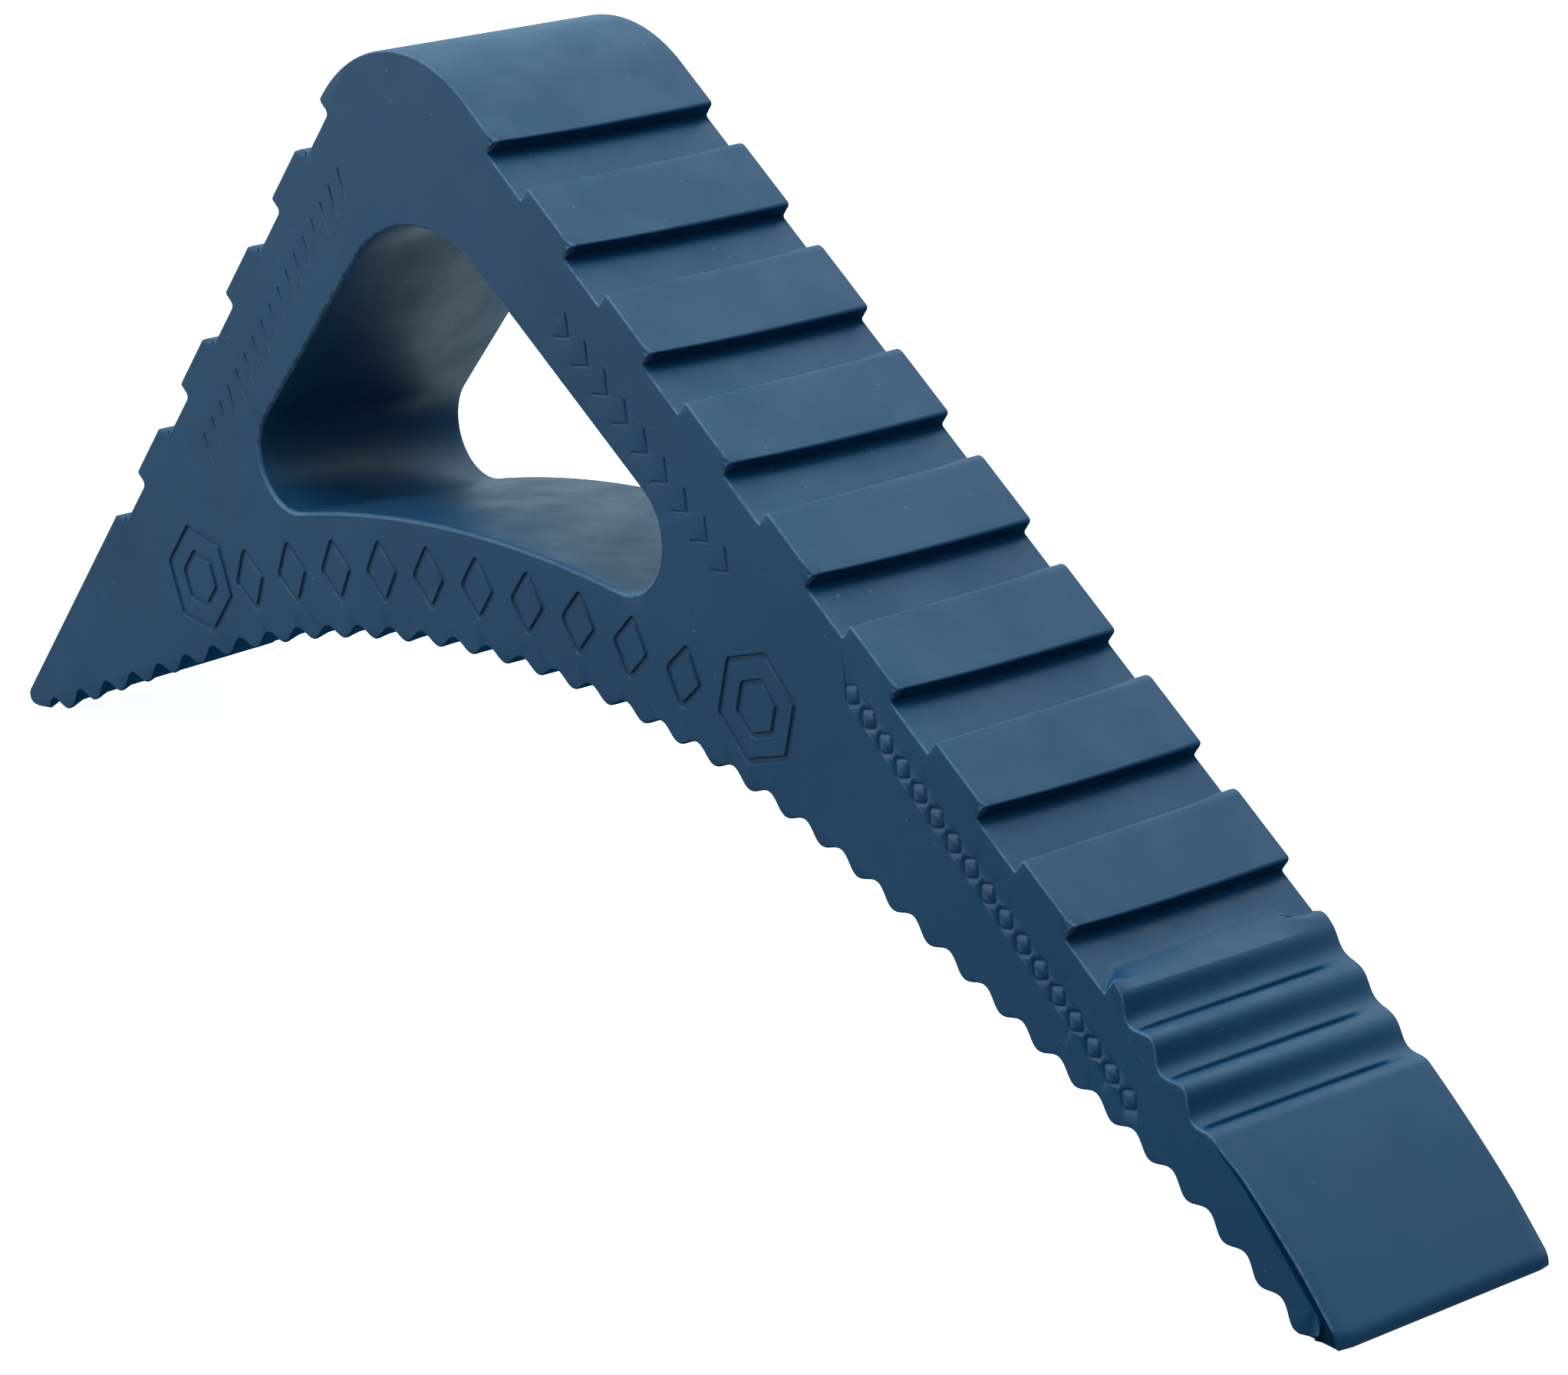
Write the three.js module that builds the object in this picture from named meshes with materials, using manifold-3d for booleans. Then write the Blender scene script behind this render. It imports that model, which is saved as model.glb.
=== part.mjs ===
// Rubber door wedge: one moulding of constant side profile, extruded across its width.
//
// Frame: millimetres, +Z up. X runs along the wedge, from the heel (-X) to the thin tongue (+X).
// Y runs across it. The origin is the bottom centre of the bounding box, on the floor.
//
// The profile is laid out in x and z from the point where the heel line meets the floor, and is
// centred at the end. Angles are in degrees.

import * as THREE from 'three';
import { mergeVertices } from 'three/addons/utils/BufferGeometryUtils.js';
import Module from 'manifold-3d';

// Overall
const WIDTH = 19;
const HEEL_ANGLE = 55;
const RAMP_ANGLE = 32.75;
const HEEL_LENGTH = 79.1;

// Rounded apex, and the rounded toe at the foot of the heel, whose flat ends at x = foot
const APEX_RADIUS = 11.8;
const TOE = { radius: 0.7, foot: 2.5 };

// Square notches cut across the ramp and the heel, at distances down from the corner of the two
const NOTCH_DEPTH = 1.2;
const NOTCH_LENGTH = 4.2;
const RAMP_NOTCHES = { first: 15.45, pitch: 9.8, count: 8 };
const HEEL_NOTCHES = { first: 11.6, pitch: 10, count: 5 };

// Tongue, laid out upwards from the tip: a slightly bulging slope, then a run of ripples
const TIP = { x: 139.35, radius: 0.45, foot: 2.7 };
const TONGUE = { tipAngle: 43.9, radius: 100, turn: 8.1 };
const RIPPLES = { angle: 37.4, pitch: 3.65, count: 3, height: 0.78 };

// Underside: a straight run, a long arch, a short straight run and a last bend to the tip,
// covered in small ridges whose pitch closes up towards the tip
const UNDERSIDE_START = 2.47;
const UNDERSIDE_ANGLE = 25.9;
const UNDERSIDE_RADIUS = 96.2;
const HEEL_RUN = 26;
const ARCH_TURN = 45.7;
const TONGUE_RUN = 20.2;
const RIDGE_HEIGHT = 0.83;
const RIDGE_FIRST = 1.36;
const RIDGE_PITCH_AT_HEEL = 3.825;
const RIDGE_CLOSING = 0.000067;
const RIDGE_COUNT = 39;
const FLOOR_CLEARANCE = 0.05;

// Finger window through the width: a rounded triangle. Its heel and ramp sides leave walls of the
// thickness given, level with its top corner, that thin slightly downwards. Its floor is an arc
// that almost follows the arch. It widens towards +Y.
const HEEL_WALL = 9.26;
const RAMP_WALL = 8.78;
const ARCH_WALL = 8.05;
const WINDOW_TOP = 18.6;
const WINDOW_HEEL_ANGLE = 52.6;
const WINDOW_RAMP_ANGLE = 31.45;
const WINDOW_FLOOR_SHIFT = -2.25;
const WINDOW_TOP_RADIUS = 10.35;
const WINDOW_LOW_RADIUS = 3.9;
const WINDOW_DRAFT = 1.8;
const CUT_OVERRUN = 1;

// Facets: steps per ridge or ripple, and the largest turn of a facet on an arc
const WAVE_STEPS = 8;
const ARC_STEP = 8;
const SMALL_ARC_STEP = 30;
const LONG_ARC_STEP = 3;

const radians = THREE.MathUtils.degToRad;
const point = (x, z) => new THREE.Vector2(x, z);
const heading = (angle) => point(Math.cos(radians(angle)), Math.sin(radians(angle)));
const leftOf = (direction) => point(-direction.y, direction.x);
const along = (from, direction, distance) => from.clone().addScaledVector(direction, distance);

// Points on an arc, from one polar angle to another, both ends included.
function arc(centre, radius, fromAngle, toAngle, step = ARC_STEP) {
  const steps = Math.max(1, Math.ceil(Math.abs(toAngle - fromAngle) / step));
  return Array.from({ length: steps + 1 }, (_, i) =>
    along(centre, heading(fromAngle + ((toAngle - fromAngle) * i) / steps), radius));
}

// The two outer faces meet above the apex. The heel line meets the floor at x = 0.
const heelDown = heading(180 + HEEL_ANGLE);
const rampDown = heading(-RAMP_ANGLE);
const corner = along(point(0, 0), heelDown, -HEEL_LENGTH);
const heelInward = leftOf(heelDown);
const rampInward = leftOf(rampDown).negate();

const onHeel = (distance, depth = 0) => along(along(corner, heelDown, distance), heelInward, depth);
const onRamp = (distance, depth = 0) => along(along(corner, rampDown, distance), rampInward, depth);

// The notches of one face, as outline points in order away from the apex.
function notches(onFace, { first, pitch, count }) {
  return Array.from({ length: count }, (_, i) => {
    const start = first + i * pitch;
    const end = start + NOTCH_LENGTH;
    return [onFace(start), onFace(start, NOTCH_DEPTH), onFace(end, NOTCH_DEPTH), onFace(end)];
  }).flat();
}

// Underside. station(s) is the point and direction at length s along its middle line.
const archStart = along(point(UNDERSIDE_START, 0), heading(UNDERSIDE_ANGLE), HEEL_RUN);
const archCentre = along(archStart, leftOf(heading(UNDERSIDE_ANGLE)), -UNDERSIDE_RADIUS);
const archLength = radians(ARCH_TURN) * UNDERSIDE_RADIUS;
const archEndAngle = UNDERSIDE_ANGLE - ARCH_TURN;
const archEnd = along(archCentre, leftOf(heading(archEndAngle)), UNDERSIDE_RADIUS);
const bendStart = along(archEnd, heading(archEndAngle), TONGUE_RUN);
const bendCentre = along(bendStart, leftOf(heading(archEndAngle)), -UNDERSIDE_RADIUS);

function station(s) {
  const intoArch = s - HEEL_RUN;
  const intoTongue = intoArch - archLength;
  const intoBend = intoTongue - TONGUE_RUN;
  if (intoArch < 0) {
    return { at: along(archStart, heading(UNDERSIDE_ANGLE), intoArch), angle: UNDERSIDE_ANGLE };
  }
  if (intoTongue < 0) {
    const angle = UNDERSIDE_ANGLE - THREE.MathUtils.radToDeg(intoArch / UNDERSIDE_RADIUS);
    return { at: along(archCentre, leftOf(heading(angle)), UNDERSIDE_RADIUS), angle };
  }
  if (intoBend < 0) {
    return { at: along(archEnd, heading(archEndAngle), intoTongue), angle: archEndAngle };
  }
  const angle = archEndAngle - THREE.MathUtils.radToDeg(intoBend / UNDERSIDE_RADIUS);
  return { at: along(bendCentre, leftOf(heading(angle)), UNDERSIDE_RADIUS), angle };
}

// The length at which ridge number n stands. At a length s beyond the first ridge the ridge
// number is s / pitch + closing * s^2.
function ridgeLength(n) {
  const slope = 1 / RIDGE_PITCH_AT_HEEL;
  const beyond = (Math.sqrt(slope * slope + 4 * RIDGE_CLOSING * n) - slope) / (2 * RIDGE_CLOSING);
  return RIDGE_FIRST + beyond;
}

function underside() {
  const points = [];
  for (let i = 0; i <= RIDGE_COUNT * WAVE_STEPS; i += 1) {
    const n = i / WAVE_STEPS;
    const { at, angle } = station(ridgeLength(n));
    const lift = (-RIDGE_HEIGHT / 2) * Math.cos(2 * Math.PI * n);
    points.push(along(at, leftOf(heading(angle)), lift));
  }
  return points.filter((p) => p.y > FLOOR_CLEARANCE);
}

// Tip, tongue and ripples, in order from the foot of the tip up to the end of the ramp.
function tongue() {
  const tipCentre = point(TIP.x, TIP.radius);
  const outward = heading(90 - TONGUE.tipAngle);
  const tip = arc(tipCentre, TIP.radius, -90, 90 - TONGUE.tipAngle, SMALL_ARC_STEP);
  const slopeCentre = along(tipCentre, outward, TIP.radius - TONGUE.radius);
  const topAngle = 90 - TONGUE.tipAngle + TONGUE.turn;
  const slope = arc(slopeCentre, TONGUE.radius, 90 - TONGUE.tipAngle, topAngle, LONG_ARC_STEP);
  const slopeTop = slope[slope.length - 1];

  const uphill = heading(180 - RIPPLES.angle);
  const ripples = [];
  for (let i = 1; i <= RIPPLES.count * WAVE_STEPS; i += 1) {
    const n = i / WAVE_STEPS;
    const depth = (RIPPLES.height / 2) * (1 - Math.cos(2 * Math.PI * n));
    ripples.push(along(along(slopeTop, uphill, n * RIPPLES.pitch), leftOf(uphill), depth));
  }
  return [point(TIP.x - TIP.foot, 0), ...tip, ...slope.slice(1), ...ripples];
}

// Apex arc from the ramp side over to the heel side.
function apex() {
  const inside = 180 - HEEL_ANGLE - RAMP_ANGLE;
  const tangent = APEX_RADIUS / Math.tan(radians(inside / 2));
  const centre = along(onRamp(tangent), rampInward, APEX_RADIUS);
  return arc(centre, APEX_RADIUS, 90 - RAMP_ANGLE, 90 + HEEL_ANGLE);
}

function toe() {
  const tangent = TOE.radius / Math.tan(radians(HEEL_ANGLE / 2));
  const rounding = arc(point(tangent, TOE.radius), TOE.radius, 90 + HEEL_ANGLE, 270, SMALL_ARC_STEP);
  return [...rounding, point(TOE.foot, 0)];
}

const profile = [
  ...underside(),
  ...tongue(),
  ...notches(onRamp, RAMP_NOTCHES).reverse(),
  ...apex(),
  ...notches(onHeel, HEEL_NOTCHES),
  ...toe(),
];

// Where two lines cross. A line is a point on it and its direction.
function crossing(a, b) {
  const between = b.from.clone().sub(a.from);
  return along(a.from, a.direction, between.cross(b.direction) / a.direction.cross(b.direction));
}

// Where a line, followed in its direction, leaves a circle.
function leavingCircle({ from, direction }, centre, radius) {
  const offset = from.clone().sub(centre);
  const middle = -offset.dot(direction);
  return along(from, direction, middle + Math.sqrt(middle * middle - offset.lengthSq() + radius * radius));
}

// The centre of a corner's arc lies one radius inside both of the sides that it joins.
function windowOutline() {
  const heelSide = (inside) => {
    const up = heading(WINDOW_HEEL_ANGLE);
    return { from: along(onHeel(WINDOW_TOP, HEEL_WALL), leftOf(up), -inside), direction: up };
  };
  const rampSide = (inside) => {
    const up = heading(180 - WINDOW_RAMP_ANGLE);
    return { from: along(onRamp(WINDOW_TOP, RAMP_WALL), leftOf(up), inside), direction: up };
  };
  const floorCentre = archCentre.clone().add(point(WINDOW_FLOOR_SHIFT, 0));
  const floorRadius = UNDERSIDE_RADIUS + ARCH_WALL;
  const lowCentreRadius = floorRadius + WINDOW_LOW_RADIUS;

  const topCorner = crossing(heelSide(WINDOW_TOP_RADIUS), rampSide(WINDOW_TOP_RADIUS));
  const heelCorner = leavingCircle(heelSide(WINDOW_LOW_RADIUS), floorCentre, lowCentreRadius);
  const rampCorner = leavingCircle(rampSide(WINDOW_LOW_RADIUS), floorCentre, lowCentreRadius);
  const floorAngle = (centre) => THREE.MathUtils.radToDeg(
    Math.atan2(centre.y - floorCentre.y, centre.x - floorCentre.x));
  const heelFloor = floorAngle(heelCorner);
  const rampFloor = floorAngle(rampCorner);
  const rampNormal = 90 - WINDOW_RAMP_ANGLE;
  const heelNormal = 90 + WINDOW_HEEL_ANGLE;
  return [
    ...arc(rampCorner, WINDOW_LOW_RADIUS, rampFloor - 180, rampNormal),
    ...arc(topCorner, WINDOW_TOP_RADIUS, rampNormal, heelNormal),
    ...arc(heelCorner, WINDOW_LOW_RADIUS, heelNormal, heelFloor + 180),
    ...arc(floorCentre, floorRadius, heelFloor, rampFloor, LONG_ARC_STEP).slice(1, -1),
  ];
}

// A shape extruded across the width. Its first face lies at y = +WIDTH / 2 + overrun.
function acrossWidth(points, overrun = 0) {
  const geometry = new THREE.ExtrudeGeometry(new THREE.Shape(points), {
    depth: WIDTH + 2 * overrun,
    bevelEnabled: false,
    steps: 1,
  });
  geometry.rotateX(Math.PI / 2);
  geometry.translate(0, WIDTH / 2 + overrun, 0);
  return geometry;
}

// The window widens towards +Y by its draft angle, about the point that is level with its sides.
function draftWindow(geometry, outline) {
  const middle = new THREE.Box2().setFromPoints(outline).getCenter(point(0, 0));
  const reach = Math.min(...outline.map((p) => p.distanceTo(middle)));
  const position = geometry.attributes.position;
  for (let i = 0; i < position.count; i += 1) {
    const fromNear = position.getY(i) + WIDTH / 2;
    const grow = 1 + (fromNear * Math.tan(radians(WINDOW_DRAFT))) / reach;
    position.setX(i, middle.x + (position.getX(i) - middle.x) * grow);
    position.setZ(i, middle.y + (position.getZ(i) - middle.y) * grow);
  }
}

const wasm = await Module();
wasm.setup();

function toSolid(geometry) {
  const bare = geometry.clone();
  bare.deleteAttribute('normal');
  bare.deleteAttribute('uv');
  const merged = mergeVertices(bare, 1e-4);
  return new wasm.Manifold(new wasm.Mesh({
    numProp: 3,
    vertProperties: merged.attributes.position.array,
    triVerts: new Uint32Array(merged.index.array),
  }));
}

function toGeometry(solid) {
  const mesh = solid.getMesh();
  const geometry = new THREE.BufferGeometry();
  geometry.setAttribute('position', new THREE.BufferAttribute(mesh.vertProperties, 3));
  geometry.setIndex(new THREE.BufferAttribute(mesh.triVerts, 1));
  geometry.computeVertexNormals();
  return geometry;
}

const outline = windowOutline();
const windowCutter = acrossWidth(outline, CUT_OVERRUN);
draftWindow(windowCutter, outline);
const bodyGeometry = toGeometry(toSolid(acrossWidth(profile)).subtract(toSolid(windowCutter)));
bodyGeometry.computeBoundingBox();
const box = bodyGeometry.boundingBox;
bodyGeometry.translate(-(box.min.x + box.max.x) / 2, 0, -box.min.z);

const body = new THREE.Mesh(
  bodyGeometry,
  new THREE.MeshStandardMaterial({ color: 0x2f4f6e, roughness: 0.55, metalness: 0 }),
);
body.name = 'wedge_body';

const wedge = new THREE.Group();
wedge.name = 'door_wedge';
wedge.add(body);

export default wedge;
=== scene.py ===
"""The door wedge's looks: one rubber moulding, built as a mesh in place of the plain CAD solid.

The side profile is laid out in millimetres as complex numbers, x + i z, from the point where the
heel line meets the floor, with the part's own dimensions. y is the distance from the near face.
Sections of that profile, one for each row across the width, are joined into the outer skin, and
the two side faces are filled in between the outline, the window and the engraved marks.

Three values at each point drive the rubber's colour: one for a painted highlight along the near
rims of the top and the window, one for painted shade in the grooves, beside the plate and on the
underside, whose sheen it also takes away, and one for a little painted shade on the floors of the
engraved patterns.
"""

import cmath
import math

import bmesh
import bpy
import numpy as np
from mathutils import Matrix, Vector
from mathutils.geometry import delaunay_2d_cdt


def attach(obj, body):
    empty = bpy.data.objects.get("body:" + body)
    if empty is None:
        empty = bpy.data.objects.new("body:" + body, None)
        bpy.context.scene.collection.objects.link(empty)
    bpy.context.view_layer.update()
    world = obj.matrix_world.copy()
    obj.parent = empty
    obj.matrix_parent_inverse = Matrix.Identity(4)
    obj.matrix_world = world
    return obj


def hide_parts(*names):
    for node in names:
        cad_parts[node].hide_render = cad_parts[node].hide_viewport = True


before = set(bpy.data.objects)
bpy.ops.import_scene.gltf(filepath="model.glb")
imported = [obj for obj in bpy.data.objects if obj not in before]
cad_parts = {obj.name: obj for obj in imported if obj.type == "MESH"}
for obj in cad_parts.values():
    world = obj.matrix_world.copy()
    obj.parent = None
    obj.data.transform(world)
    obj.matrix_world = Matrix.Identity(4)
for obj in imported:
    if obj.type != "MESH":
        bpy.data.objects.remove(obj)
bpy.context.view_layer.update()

MM = 0.001

# The part's dimensions, in millimetres and degrees
WIDTH = 19
LAYOUT_CENTRE = 70.225
HEEL_ANGLE = 55
RAMP_ANGLE = 32.75
HEEL_LENGTH = 79.1
APEX_RADIUS = 11.8
TOE_RADIUS = 0.7
TOE_FOOT = 1.9

# Square notches, at distances down from the corner where the two outer faces would meet
NOTCH_DEPTH = 1.2
NOTCH_LENGTH = 4.2
RAMP_NOTCHES = dict(first=15.45, pitch=9.8, count=8)
HEEL_NOTCHES = dict(first=11.6, pitch=10, count=5)

# The tip, the tongue's bulging slope and the ripples above it
TIP_X = 139.35
TIP_RADIUS = 0.45
TIP_FOOT = 2.7
TONGUE_ANGLE = 43.9
TONGUE_RADIUS = 100
TONGUE_TURN = 8.1
RIPPLE_ANGLE = 37.4
RIPPLE_PITCH = 3.65
RIPPLE_COUNT = 3
RIPPLE_HEIGHT = 0.78

# The underside's middle line, and the ridges along it, whose pitch closes up towards the tip
UNDERSIDE_START = 2.47
UNDERSIDE_ANGLE = 25.9
UNDERSIDE_RADIUS = 96.2
HEEL_RUN = 26
ARCH_TURN = 45.7
TONGUE_RUN = 20.2
RIDGE_HEIGHT = 0.83
RIDGE_FIRST = 1.36
RIDGE_PITCH_AT_HEEL = 3.825
RIDGE_CLOSING = 0.000067
RIDGE_COUNT = 39
FLOOR_CLEARANCE = 0.05

# The heel's underside lies higher behind a lip along the near face, and levels out where x is
# within fade. By the toe the ridges are moved towards it, higher and broader, less so with each one.
UNDERSIDE_DRAFT = dict(rise=0.8, lip=0.42, lip_width=1.3, fade=(22, 62))
TOE_RIDGES = dict(fade=7, shift=-1.4, rise=0.3, broader=0.6)

# The finger window's walls, angles and corner radii
HEEL_WALL = 9.26
RAMP_WALL = 8.78
ARCH_WALL = 8.05
WINDOW_TOP = 18.6
WINDOW_HEEL_ANGLE = 52.6
WINDOW_RAMP_ANGLE = 31.45
WINDOW_FLOOR_SHIFT = -2.25
WINDOW_TOP_RADIUS = 10.35
WINDOW_LOW_RADII = dict(heel=3.9, ramp=4.05)

# How much each side of the window moves outwards by the far face
WINDOW_OPENING = dict(heel=0.05, ramp=0.75, floor=1.0)

# Roundings of the ramp's notches that the CAD solid leaves out: each corner's radius at the near
# and the far face. The notches are shorter by the taper at the far face, and their risers are
# bowed across the width: the middle bulges down the ramp, and each end lies further back.
LAND_LOW_CORNER = (0.13, 0.3)
NOTCH_FOOT = (0.12, 0.15)
NOTCH_TOP_FOOT = (0.1, 0.2)
LAND_HIGH_CORNER = (0.25, 0.7)
HIGH_EDGE_TAPER = 0.7
RISER_BOW = dict(middle=9, bulge=0.13, near=0.2, far=0.08)

# The last hill, between the last notch and the ripples. Its edge is sharp at the near face. Past
# y = fade it is round, and it is sunk and slanted as far as the ripples' lines go.
LAST_HILL_CORNER = (0.12, 0.9)
LAST_HILL_FADE = (0.2, 2)
LAST_HILL_SUNK = 0.6
LAST_HILL_SLANT = 1.4
LAST_HILL_FOOT = (0.12, 1.5)

# How far from a notch's corners the outline's plain points stand
GUARD_DISTANCE = 0.9
LAND_GUARDS = (1.5, 0.75)

# Other roundings, and how much higher the ripples' crests are at the near and the far face
HEEL_HIGH_CORNER = 1.2
HEEL_LOW_CORNER = 0.3
HEEL_FOOT = 0.3
TIP_ROUNDING = 1.45
TIP_FOOT_ROUNDING = 0.15
CREST_RISE = (0.2, -0.3)

# The thin line moulded along each ripple, a share of the pitch below its trough. The core is the
# part that is dark. The line fades in and out over these distances from the near face.
LINE_DEPTH = 0.22
LINE_WIDTH = 0.15
LINE_CORE = 0.12
LINE_BEFORE_TROUGH = 0.19
LINE_NEAR_START = (0.15, 0.7)
LINE_FAR_END = (15.0, 17.5)

# Radii of the rims of the two side faces and the window. The near face's is larger within reach of
# the top of each riser. The tip is also rounded in plan, with a radius at the near and the far face.
NEAR_RIM = 0.14
NEAR_RIM_AT_RISER = 0.6
RISER_REACH = 0.3
HEEL_NEAR_RIM = 0.25
FAR_RIM = 0.15
WINDOW_RIM = 0.3
TIP_PLAN_RADIUS = (0.9, 0.5)
TIP_PLAN_REACH = 3.5

# The near face is a raised plate along the tongue: it ends in a round before the tip. Its edge
# starts a small turn of the slope's arc below the slope's top, and its wall's foot one more below.
PLATE_STEP = 0.26
PLATE_FADE = 0.25
PLATE_INSET = (0.27, 0.55)
PLATE_END_RADIUS = 1.0
PLATE_END_X = 137.25
PLATE_END_ANGLE = -84
PLATE_WALL = 0.07
PLATE_START_TURN = 0.35
PLATE_WALL_TURN = 0.2
PLATE_FLOOR_GAP = 0.012

# Engraved marks: line widths and depths, and the rows of each pattern. Places along the arch are
# angles and radii about its centre. Others are distances and depths from the two outer faces.
MARK_WIDTH = 0.5
MARK_DEPTH = 0.15
MARK_WALL = 0.1
MARK_CORNER = 0.3
FINE_WIDTH = 0.3
FINE_DEPTH = 0.08
ARCH_MARKS = dict(count=10, angles=(112, 83.7), radius=100.6, half_size=(1.7, 2.2))
END_MARKS = dict(angles=(115.6, 79.6), radius=101.6, sizes=(3.9, 2.0))
HEEL_MARKS = dict(count=17, run=(14.4, 42.8), depth=5.2, slant=60, half_length=1.05)
SIDE_MARKS = dict(count=9, run=(27.9, 48.2), depths=(5.3, 6.2), half_length=0.6, half_height=1.1)
RAMP_MARKS = dict(count=17, run=(61.7, 93.8), depths=(3.6, 5.0), half_size=(0.85, 0.95))

# Camera: angles in degrees, lengths in millimetres and the nearest clipping distance in metres
LENS = 124.03
SENSOR_WIDTH = 36
CAMERA_AZIMUTH = 48.66
CAMERA_ELEVATION = 20.13
CAMERA_ROLL = 1.476
CAMERA_TARGET = (5.87, 1.68, 20.80)
CAMERA_DISTANCE = 363.8
CLIP_START = 0.01

# The rubber's linear colours, and how strongly each one covers what lies below it
RUBBER_DARK = (0.005, 0.051, 0.128, 1)
RUBBER_LIGHT = (0.007, 0.059, 0.142, 1)
DUST = (0.20, 0.28, 0.32, 1)
# A painted highlight for the near rims, then painted shade for the grooves, the plate's ledge, the
# underside and the engraved floors
PAINTED_HIGHLIGHT = (0.08, 0.17, 0.30, 1)
PAINTED_SHADE_COLOUR = (0.006, 0.014, 0.035, 1)
DUST_SHARE = 0.25
PAINTED_HIGHLIGHT_SHARE = 0.8
PAINTED_SHADE_SHARE = 0.75
MARK_SHARE = 0.1

# The painted shade of three places, and the share of the painted highlight round the window's near
# rim
RISER_SHADE = 0.35
LINE_SHADE = 0.6
UNDERSIDE_SHADE = 0.3
WINDOW_PAINTED_HIGHLIGHT = dict(floor=0.4, sides=1.0)

# Columns without painted shade at the plate's two ends, and the part of a riser that gets painted
# shade
PLATE_PLAIN_COLUMNS = dict(tip=2, top=6)
RISER_BAND = dict(half_length=0.16, top=0.1, below=0.05)

# The rubber's sheen. Its specular level falls to nothing where the painted shade reaches the
# underside's value, so the shaded places lose their sheen too.
IOR = 1.5
GLOSS = 0.33

# Noises, as scale, detail and roughness, and the ranges of them that count. A range that isn't
# spread over 0 to 1 has the two values that it is spread over.
CLOUDS = (60, 4, 0.55)
CLOUD_RANGE = (0.35, 0.65)
SPECKS = (1500, 1, 0.4)
SPECK_RANGE = (0.79, 0.81)
RAGGED = (1400, 2, 0.6)
RAGGED_RANGE = (0.3, 0.6, 0.35, 1.0)
SATIN = (220, 5, 0.6)
SATIN_RANGE = (0.3, 0.7, 0.4, 0.52)
GRAIN = (5000, 3, 0.6)
GRAIN_BUMP = {"Strength": 0.08, "Distance": 0.0001}
SWELL = (120, 2, 0.5)
SWELL_BUMP = {"Strength": 0.12, "Distance": 0.0006}

# Normals: edges that turn more than this stay sharp, and large faces count most elsewhere
SHARP_ANGLE = 40
FLAT_WEIGHT = 100

# The floor: a pale square with a soft glow of its own
FLOOR_SIZE = 8
FLOOR_CLOUDS = (8, 3, 0.5)
FLOOR_SHADES = ((0.86, 0.86, 0.86, 1), (0.9, 0.9, 0.9, 1))
FLOOR_ROUGHNESS = 0.9
FLOOR_GLOW = 0.93

# Lights, in metres and watts
LIGHT_AIM = (0, 0, 0.03)
LIGHTS = [
    dict(name="front_left", place=(-0.29, -0.35, 0.15), size=0.35, watts=0.8),
    dict(name="above_ramp", place=(0.0, -0.08, 0.28), size=0.15, watts=0.21),
    dict(name="behind_top", place=(-0.08, 0.33, 0.42), size=0.4, watts=0.4),
]

# The studio's dome is bright towards the sky's axis, and less so low down. Each soft patch is
# brightest along its axis. A span is of the cosine of the angle to the axis, or of the height.
SKY = dict(axis=(-0.66, 0.3, 0.69), span=(-0.22, 0.42))
SKY_LOW_SPAN = (-0.1, 0.5)
SKY_LOW_SHARE = 0.7
SKY_PATCHES = dict(
    behind_window=dict(axis=(-0.16, 0.62, -0.77), span=(0.72, 0.92), share=1.0),
    under_heel=dict(axis=(0.43, 0.2, -0.88), span=(0.75, 0.95), share=0.85),
    beyond_tip=dict(axis=(0.97, -0.2, 0.05), span=(0.4, 1.0), share=0.2),
)
SKY_DARK = (0.02, 0.02, 0.025, 1)
SKY_BRIGHT = (0.74, 0.98, 1.02, 1)
SKY_STRENGTH = 1.27

# The values that are stored at each point
ATTRIBUTES = ("rim", "crease", "mark")

# Sampling: steps for each wave, curve and corner, and rows across the width. A ripple's thin line
# has its own samples, as far as its reach in line widths. The tip's foot has points at these shares.
WAVE_STEPS = 14
RIPPLE_SAMPLES = 20
LINE_SAMPLES = 9
LINE_REACH = 2.4
CORNER_STEPS = 4
MARK_CORNER_STEPS = 3
ROLL_STEPS = 12
SLOPE_STEPS = 40
APEX_STEPS = 48
TOE_STEPS = 10
TIP_FOOT_SHARES = (0, 0.2, 0.4, 0.7, 0.9)
WINDOW_STEPS = dict(low=24, top=32, side=13, floor=48)
PLATE_STEPS = dict(side=36, end=22)
RIM_ROWS = 5
INNER_ROWS = 20
MERGE_DISTANCE = 1e-7

# A distance along a line of which only the direction counts
AHEAD = 5


def heading(angle):
    return cmath.exp(1j * math.radians(angle))


def between(ends, share):
    return ends[0] + (ends[1] - ends[0]) * share


def smooth(low, high, value):
    t = np.clip((value - low) / (high - low), 0, 1)
    return t * t * (3 - 2 * t)


def arc(centre, radius, start, end, steps):
    return centre + radius * np.exp(1j * np.radians(np.linspace(start, end, steps + 1)))


def crossing(a, towards_a, b, towards_b):
    """Where the line through a crosses the line through b."""
    away = (b - a) / towards_a
    slope = towards_b / towards_a
    return a + towards_a * (away.real - away.imag * slope.real / slope.imag)


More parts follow.
